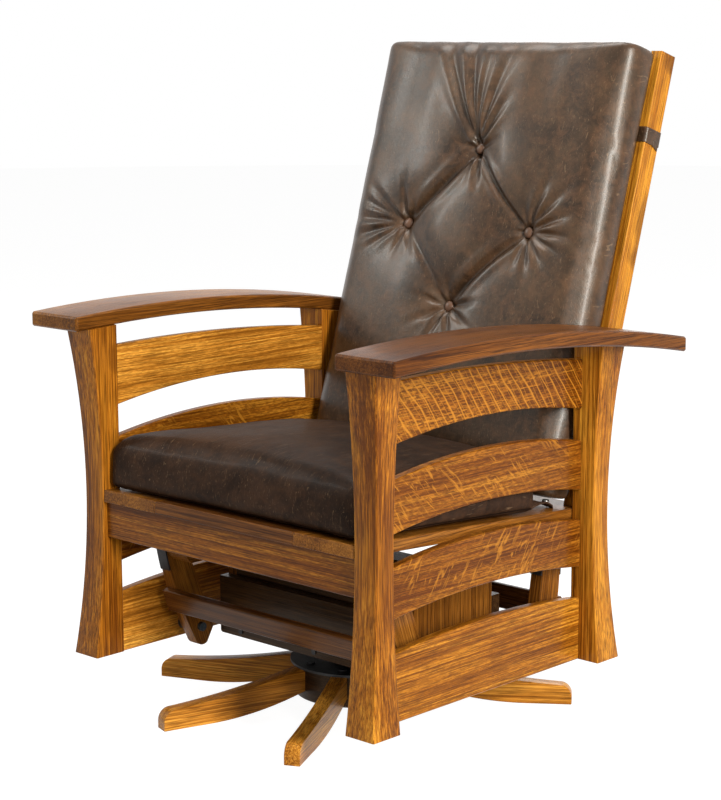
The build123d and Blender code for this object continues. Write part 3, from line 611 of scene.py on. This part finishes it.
def stuffed_form(name, size, soft, shoulder, material):
    long, thick = size[1:]
    form = bmesh.new()
    bmesh.ops.create_cube(form, size=1.0)
    bmesh.ops.scale(form, vec=size, verts=form.verts)
    bmesh.ops.translate(form, vec=(0, 0, thick / 2), verts=form.verts)

    def rounded(choose, radius):
        edges = [edge for edge in form.edges if choose(edge)]
        bmesh.ops.bevel(form, geom=edges, offset=radius, segments=8, profile=0.5, affect="EDGES",
                        material=-1)

    def runs_along(edge):
        step = edge.verts[0].co - edge.verts[1].co
        return abs(step.y) > 0.9 * step.length

    rounded(lambda e: runs_along(e) and all(v.co.z > thick * 0.9 for v in e.verts), shoulder)
    rounded(lambda e: runs_along(e) and all(v.co.z < thick * 0.1 for v in e.verts), soft)
    ends = long / 2 - 0.0005
    rounded(lambda e: all(abs(v.co.y) > ends for v in e.verts) and e.calc_face_angle(0) > 1.0, soft)
    return piece_from(form, name, material)


def puffed(cushion, size):
    remesh = cushion.modifiers.new("even", "REMESH")
    remesh.mode = "VOXEL"
    remesh.voxel_size = VOXEL
    apply_all(cushion)
    stuff_with_filling(cushion)
    smooth = cushion.modifiers.new("smooth", "SMOOTH")
    smooth.factor = 0.5
    smooth.iterations = 4
    apply_all(cushion)
    fit_to(cushion, size)


def stuff_with_filling(cushion):
    start = [vertex.co.copy() for vertex in cushion.data.vertices]
    cloth = cushion.modifiers.new("filling", "CLOTH")
    cover = cloth.settings
    cover.quality = 5
    cover.mass = 0.4
    cover.tension_stiffness = 90
    cover.compression_stiffness = 90
    cover.shear_stiffness = 45
    cover.bending_stiffness = 4.0
    cover.use_pressure = True
    cover.uniform_pressure_force = PRESSURE
    cover.effector_weights.gravity = 0
    cloth.point_cache.frame_start = 1
    cloth.point_cache.frame_end = FRAMES
    scene = bpy.context.scene
    for step in range(1, FRAMES + 1):
        scene.frame_set(step)
    apply_all(cushion)
    scene.frame_set(1)
    for vertex, home in zip(cushion.data.vertices, start):
        move = vertex.co - home
        held = [most * math.tanh(step / most) for step, most in zip(move, LARGEST_SWELL)]
        vertex.co = home + Vector(held)


def fit_to(cushion, size):
    low = Vector(min(v.co[axis] for v in cushion.data.vertices) for axis in range(3))
    high = Vector(max(v.co[axis] for v in cushion.data.vertices) for axis in range(3))
    for vertex in cushion.data.vertices:
        x, y, z = ((vertex.co[axis] - low[axis]) / (high[axis] - low[axis]) for axis in range(3))
        vertex.co = Vector(((x - 0.5) * size[0], (y - 0.5) * size[1], z * size[2]))


def smooth_step(value):
    value = min(1.0, max(0.0, value))
    return value * value * (3 - 2 * value)


def finer(cushion):
    step = cushion.modifiers.new("finer", "SUBSURF")
    step.levels = step.render_levels = 1
    apply_all(cushion)


def swell_along(place, half_long):
    return 1 - ENDS_FALL * min(1.0, abs(place) / half_long) ** 4


def brow_drop(place, half_long, brow):
    near = half_long - abs(place)
    if near >= brow:
        return 0.0
    return brow - math.sqrt(max(0.0, brow ** 2 - (brow - max(0.0, near)) ** 2))


def back_cushion(material):
    start = tuple(side - STARTS_SMALLER for side in BACK_SIZE)
    cushion = stuffed_form("back_cushion_tufted", start, BACK_SOFT_EDGE, BACK_SHOULDER, material)
    puffed(cushion, BACK_SIZE)
    finer(cushion)
    half_long, thick = BACK_SIZE[1] / 2, BACK_SIZE[2]
    for vertex in cushion.data.vertices:
        x, y, w = vertex.co
        u = y + BACK_MIDDLE_U
        face = smooth_step((w / thick - 0.55) / 0.42)
        w -= brow_drop(y, half_long, BACK_BROW) * face * 0.5
        w += face * back_crown(x, y)
        w += face * tuft_relief(x - LEANS_LEFT, u)
        w += face * slow_waves(x, u)
        vertex.co = Vector((x - LEANS_LEFT, u, max(w, LEAST_HEIGHT)))
    cushion.data.transform(BACK_PLACE)
    cushion.data.update()
    finish_cushion(cushion, "back_cushion")


def back_crown(x, y):
    across = max(0.0, 1 - (x / (BACK_SIZE[0] / 2)) ** 2) ** 1.2
    return BACK_CROWN * swell_along(y, BACK_SIZE[1] / 2) * across


def slow_waves(x, u):
    near_top = smooth_step((u - WAVES_START_U) / WAVES_GROW_OVER)
    waves = WAVE_HEIGHT * near_top * noise.noise(Vector((x * 24, u * 4, 0.4)))
    return waves + SWAY_HEIGHT * noise.noise(Vector((x * 9, u * 9, 5.0)))


BUTTON_REACH = 0.28
TUFT_DEPTH, TUFT_REACH = 0.020, 0.046
PIT_DEPTH, PIT_REACH = 0.007, 0.012
PLEAT_WIDTH = 0.0036
PLEAT_SPREAD = 0.062
PLEAT_START = 0.016
PLEAT_STRENGTH = 3.2
LIP_HEIGHT, LIP_WIDTH = 0.5, 2.1
FOLD_REACH = 0.09
HOLLOW_DEPTH, HOLLOW_REACH = 0.006, 0.030
# Pleats that fan out from each button: direction in degrees, reach and depth in millimetres
PLEATS = (
    ((121, 250, 5.5), (106, 215, 5.5), (94, 130, 5.0), (78, 140, 4.0), (58, 80, 4.5), (-74, 62, 6.0),
     (-104, 45, 3.0), (172, 42, 2.0), (18, 45, 2.5)),
    ((178, 120, 4.0), (161, 110, 3.0), (147, 95, 3.5), (196, 110, 3.5), (214, 80, 2.5), (101, 72, 3.0),
     (62, 45, 2.0), (-60, 60, 2.0), (-100, 48, 2.5)),
    ((70, 78, 4.5), (47, 84, 4.5), (21, 82, 4.5), (-3, 108, 3.5), (-24, 72, 4.5), (-50, 64, 4.5),
     (-75, 62, 4.5), (-97, 50, 3.0), (100, 42, 2.5), (180, 36, 2.0)),
    ((9, 56, 3.5), (-28, 66, 3.0), (-68, 60, 3.0), (-112, 68, 3.0), (168, 60, 3.0), (141, 58, 3.0),
     (-152, 66, 2.5), (96, 34, 2.0)),
)
# Folds between the buttons: from, to, sideways bend, depth, half width
FOLDS = ((0, 1, 0.007, 0.0085, 0.0075), (0, 2, -0.003, 0.0060, 0.0042),
         (3, 1, -0.005, 0.0025, 0.0060), (3, 2, 0.005, 0.0085, 0.0070))


def tuft_relief(x, u):
    depth = 0.0
    for (bx, bu), fan in zip(BUTTONS, PLEATS):
        r = math.hypot(x - bx, u - bu)
        if r > BUTTON_REACH:
            continue
        depth -= TUFT_DEPTH * math.exp(-((r / TUFT_REACH) ** 1.3))
        depth -= PIT_DEPTH * math.exp(-((r / PIT_REACH) ** 2))
        angle = math.atan2(u - bu, x - bx)
        for degrees, reach, deep in fan:
            depth -= pleat(r, angle, math.radians(degrees), reach / 1000, deep / 1000)
    for start, end, bend, deep, narrow in FOLDS:
        depth += fold(x, u, BUTTONS[start], BUTTONS[end], bend, deep, narrow)
    return depth


def pleat(r, angle, way, reach, deep):
    turn = (angle - way + math.pi) % (2 * math.pi) - math.pi
    if abs(turn) > 1.2 or r > 1.7 * reach:
        return 0.0
    side = turn * r
    width = PLEAT_WIDTH + PLEAT_SPREAD * r
    along = smooth_step(r / PLEAT_START) * math.exp(-((r / (0.80 * reach)) ** 2.4))
    valley = math.exp(-((side / width) ** 2))
    lips = LIP_HEIGHT * math.exp(-((side / (LIP_WIDTH * width)) ** 2))
    return along * deep * (valley - lips) * PLEAT_STRENGTH


def fold(x, u, a, b, bend, deep, narrow):
    run = Vector((b[0] - a[0], b[1] - a[1]))
    length = run.length
    way = run / length
    t = ((x - a[0]) * way.x + (u - a[1]) * way.y) / length
    if t < 0.0 or t > 1.0:
        return 0.0
    side = -(x - a[0]) * way.y + (u - a[1]) * way.x - bend * math.sin(math.pi * t)
    if abs(side) > FOLD_REACH:
        return 0.0
    hold = math.sin(math.pi * t) ** 0.5
    valley = -1.25 * deep * math.exp(-((side / narrow) ** 2))
    lip = 0.25 * deep * math.exp(-(((abs(side) - 2.2 * narrow) / (1.3 * narrow)) ** 2))
    hollow = -HOLLOW_DEPTH * math.exp(-((side / HOLLOW_REACH) ** 2))
    return (valley + lip + hollow) * hold


def seat_cushion(material):
    start = tuple(side - STARTS_SMALLER for side in SEAT_SIZE)
    cushion = stuffed_form("seat_cushion_plain", start, SEAT_SOFT_EDGE, SEAT_SHOULDER, material)
    puffed(cushion, SEAT_SIZE)
    finer(cushion)
    half_wide, half_long, thick = SEAT_SIZE[0] / 2, SEAT_SIZE[1] / 2, SEAT_SIZE[2]
    heights = cushion.data.attributes.new("height", "FLOAT", "POINT").data
    for vertex, height in zip(cushion.data.vertices, heights):
        x, y, w = vertex.co
        height.value = w
        share = w / thick
        face = smooth_step((share - 0.5) / 0.45)
        made_brow = brow_drop(y, half_long, SEAT_MADE_BROW)
        w -= share * max(0.0, brow_drop(y, half_long, SEAT_BROW) - made_brow)
        w += face * SEAT_CROWN * swell_along(y, half_long) * max(0.0, 1 - (x / (half_wide - 0.02)) ** 2)
        w += face * WAVE_HEIGHT * noise.noise(Vector((x * 11, y * 11, 1.7)))
        vertex.co = Vector((x, y + half_long + SEAT_OVERHANG, max(w, LEAST_HEIGHT)))
    cushion.data.transform(DECK_PLACE)
    cushion.data.update()
    finish_cushion(cushion, "seat_cushion")


def finish_cushion(cushion, node):
    cushion.data.shade_smooth()
    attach(cushion, "chair")
    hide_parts(node)


BUTTON_RADIUS = 0.0093
BUTTON_FLATNESS = 0.52
BUTTON_SUNK = 0.0235


def cushion_buttons(material):
    form = bmesh.new()
    for x, u in BUTTONS:
        made = bmesh.ops.create_uvsphere(form, u_segments=32, v_segments=16, radius=BUTTON_RADIUS)
        bmesh.ops.scale(form, vec=(1, 1, BUTTON_FLATNESS), verts=made["verts"])
        height = BACK_SIZE[2] + back_crown(x, u - BACK_MIDDLE_U) - BUTTON_SUNK
        bmesh.ops.translate(form, vec=(x, u, height), verts=made["verts"])
    bmesh.ops.transform(form, matrix=BACK_PLACE, verts=form.verts)
    made = piece_from(form, "leather_buttons", material)
    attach(made, "chair")
    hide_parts("cushion_buttons")


# Straps and tabs: flat strips of leather round the stiles and on the deck

LEATHER_THICK = 0.0024
STILE_INNER_X = 0.247
STILE_OUTER_X = 0.270
STILE_DEPTH = 0.039
STRAP_HALF_WIDTH = 0.0125
STRAP_CORNER = 0.0075
STRAP_RIPPLE = 0.0012
STRAP_UP = 0.327
TAIL_UP = 0.3190
TAIL_WIDTH = 0.012
TAIL_LENGTH = 0.014
TAIL_START = 0.019
TAIL_DROOP = 0.005
TAIL_GAP = 0.0003
TAB_X = 0.250
TAB_WIDTH = 0.024
TAB_LENGTH = 0.065
TAB_START = 0.4185
TAB_LIFT = 0.0061
TAB_CURL = 0.0105
TAB_FALL = 0.0052
TAB_RIPPLE = 0.0007
TAB_POINT = 0.86
SNAP_RADIUS = 0.0062
SNAP_FLATNESS = 0.5
SNAP_ALONG = 0.052
SNAP_HEIGHT = 0.0125
DIMPLE_ABOVE = 0.0024
DIMPLE_DEPTH = 0.0007
RIM_EASED = 0.0005
RIM_ANGLE = math.radians(40)


def back_strap(side):
    inner, outer = STILE_INNER_X - LEATHER_THICK, STILE_OUTER_X + LEATHER_THICK
    form = bmesh.new()
    bmesh.ops.create_cube(form, size=1.0)
    around_stile = (outer - inner, 2 * STRAP_HALF_WIDTH, STILE_DEPTH + 2 * LEATHER_THICK)
    bmesh.ops.scale(form, vec=around_stile, verts=form.verts)
    bmesh.ops.delete(form, geom=[f for f in form.faces if abs(f.normal.y) > 0.9], context="FACES")
    corners = [e for e in form.edges if abs((e.verts[0].co - e.verts[1].co).y) > STRAP_HALF_WIDTH]
    bmesh.ops.bevel(form, geom=corners, offset=STRAP_CORNER, segments=6, profile=0.5, affect="EDGES",
                    material=-1)
    around = [e for e in form.edges if len(e.link_faces) == 2]
    bmesh.ops.subdivide_edges(form, edges=around, cuts=7, use_grid_fill=True)
    middle = ((inner + outer) / 2, STRAP_UP, -STILE_DEPTH / 2)
    bmesh.ops.translate(form, vec=middle, verts=form.verts)
    for vertex in form.verts:
        vertex.co.y += STRAP_RIPPLE * math.sin(vertex.co.z * 120 + side)
    add_tail(form, outer)
    bmesh.ops.recalc_face_normals(form, faces=form.faces)
    bmesh.ops.solidify(form, geom=form.faces[:], thickness=LEATHER_THICK)
    bmesh.ops.scale(form, vec=(side, 1, 1), verts=form.verts)
    bmesh.ops.recalc_face_normals(form, faces=form.faces)
    bmesh.ops.transform(form, matrix=BACK_STAND, verts=form.verts)
    return form


def add_tail(form, outer):
    made = bmesh.ops.create_grid(form, x_segments=10, y_segments=6, size=0.5)
    for vertex in made["verts"]:
        along, over = vertex.co.x + 0.5, vertex.co.y
        up = TAIL_UP + TAIL_WIDTH * over - TAIL_DROOP * along ** 1.5
        vertex.co = Vector((outer + TAIL_GAP, up, TAIL_START - STILE_DEPTH - TAIL_LENGTH * along))


def strap_pieces(material):
    for side, word in ((-1, "left"), (1, "right")):
        made = piece_from(back_strap(side), "back_strap_" + word, material)
        crisp_rim(made)
        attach(made, "chair")
        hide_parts("back_straps")


def crisp_rim(made):
    rim = made.modifiers.new("rim", "BEVEL")
    rim.width = RIM_EASED
    rim.segments = 2
    rim.limit_method = "ANGLE"
    rim.angle_limit = RIM_ANGLE


def seat_tab(side):
    form = bmesh.new()
    bmesh.ops.create_grid(form, x_segments=10, y_segments=28, size=0.5)
    for vertex in form.verts:
        over, along = vertex.co.x, vertex.co.y + 0.5
        taper = 1 - 0.5 * max(0.0, along - TAB_POINT) / (1 - TAB_POINT)
        rise = TAB_LIFT + TAB_CURL * math.sin(math.pi * min(1.0, along * 0.98)) - TAB_FALL * along
        rise += TAB_RIPPLE * math.sin(9 * along + 3 * over)
        x = side * (TAB_X + TAB_WIDTH * over * taper)
        vertex.co = Vector((x, TAB_START + TAB_LENGTH * along, rise))
    bmesh.ops.recalc_face_normals(form, faces=form.faces)
    bmesh.ops.solidify(form, geom=form.faces[:], thickness=LEATHER_THICK)
    bmesh.ops.recalc_face_normals(form, faces=form.faces)
    bmesh.ops.transform(form, matrix=DECK_PLACE, verts=form.verts)
    return form


def snap_button(side):
    form = bmesh.new()
    bmesh.ops.create_uvsphere(form, u_segments=28, v_segments=14, radius=SNAP_RADIUS)
    bmesh.ops.scale(form, vec=(1, 1, SNAP_FLATNESS), verts=form.verts)
    dimple = [v for v in form.verts if v.co.z > DIMPLE_ABOVE]
    bmesh.ops.translate(form, vec=(0, 0, -DIMPLE_DEPTH), verts=dimple)
    place = (side * TAB_X, TAB_START + SNAP_ALONG, SNAP_HEIGHT)
    bmesh.ops.translate(form, vec=place, verts=form.verts)
    bmesh.ops.transform(form, matrix=DECK_PLACE, verts=form.verts)
    return form


def tab_pieces(leather, steel):
    for side, word in ((-1, "left"), (1, "right")):
        tab = piece_from(seat_tab(side), "seat_tab_" + word, leather)
        crisp_rim(tab)
        snap = piece_from(snap_button(side), "tab_snap_" + word, steel)
        for made, kind in ((tab, "leather"), (snap, "bolt_steel")):
            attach(made, "chair")
            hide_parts("seat_cushion_tabs")


photo_camera()
studio()
board_finishes()
metal_finishes()
cushion_hide = hide("oiled_brown_hide", CUSHION_TONES, 0.29, 0.27)
back_cushion(cushion_hide)
seat_cushion(hide("seat_hide", SEAT_TONES, 0.46, 0.05, SEAM_HEIGHT))
cushion_buttons(hide("button_hide", BUTTON_TONES, 0.30, 0.27))
strap_pieces(cushion_hide)
tab_pieces(hide("tab_hide", TAB_TONES, 0.48, 0.06), bright_steel("snap_steel", ZINC_DEEP, ZINC_PALE))
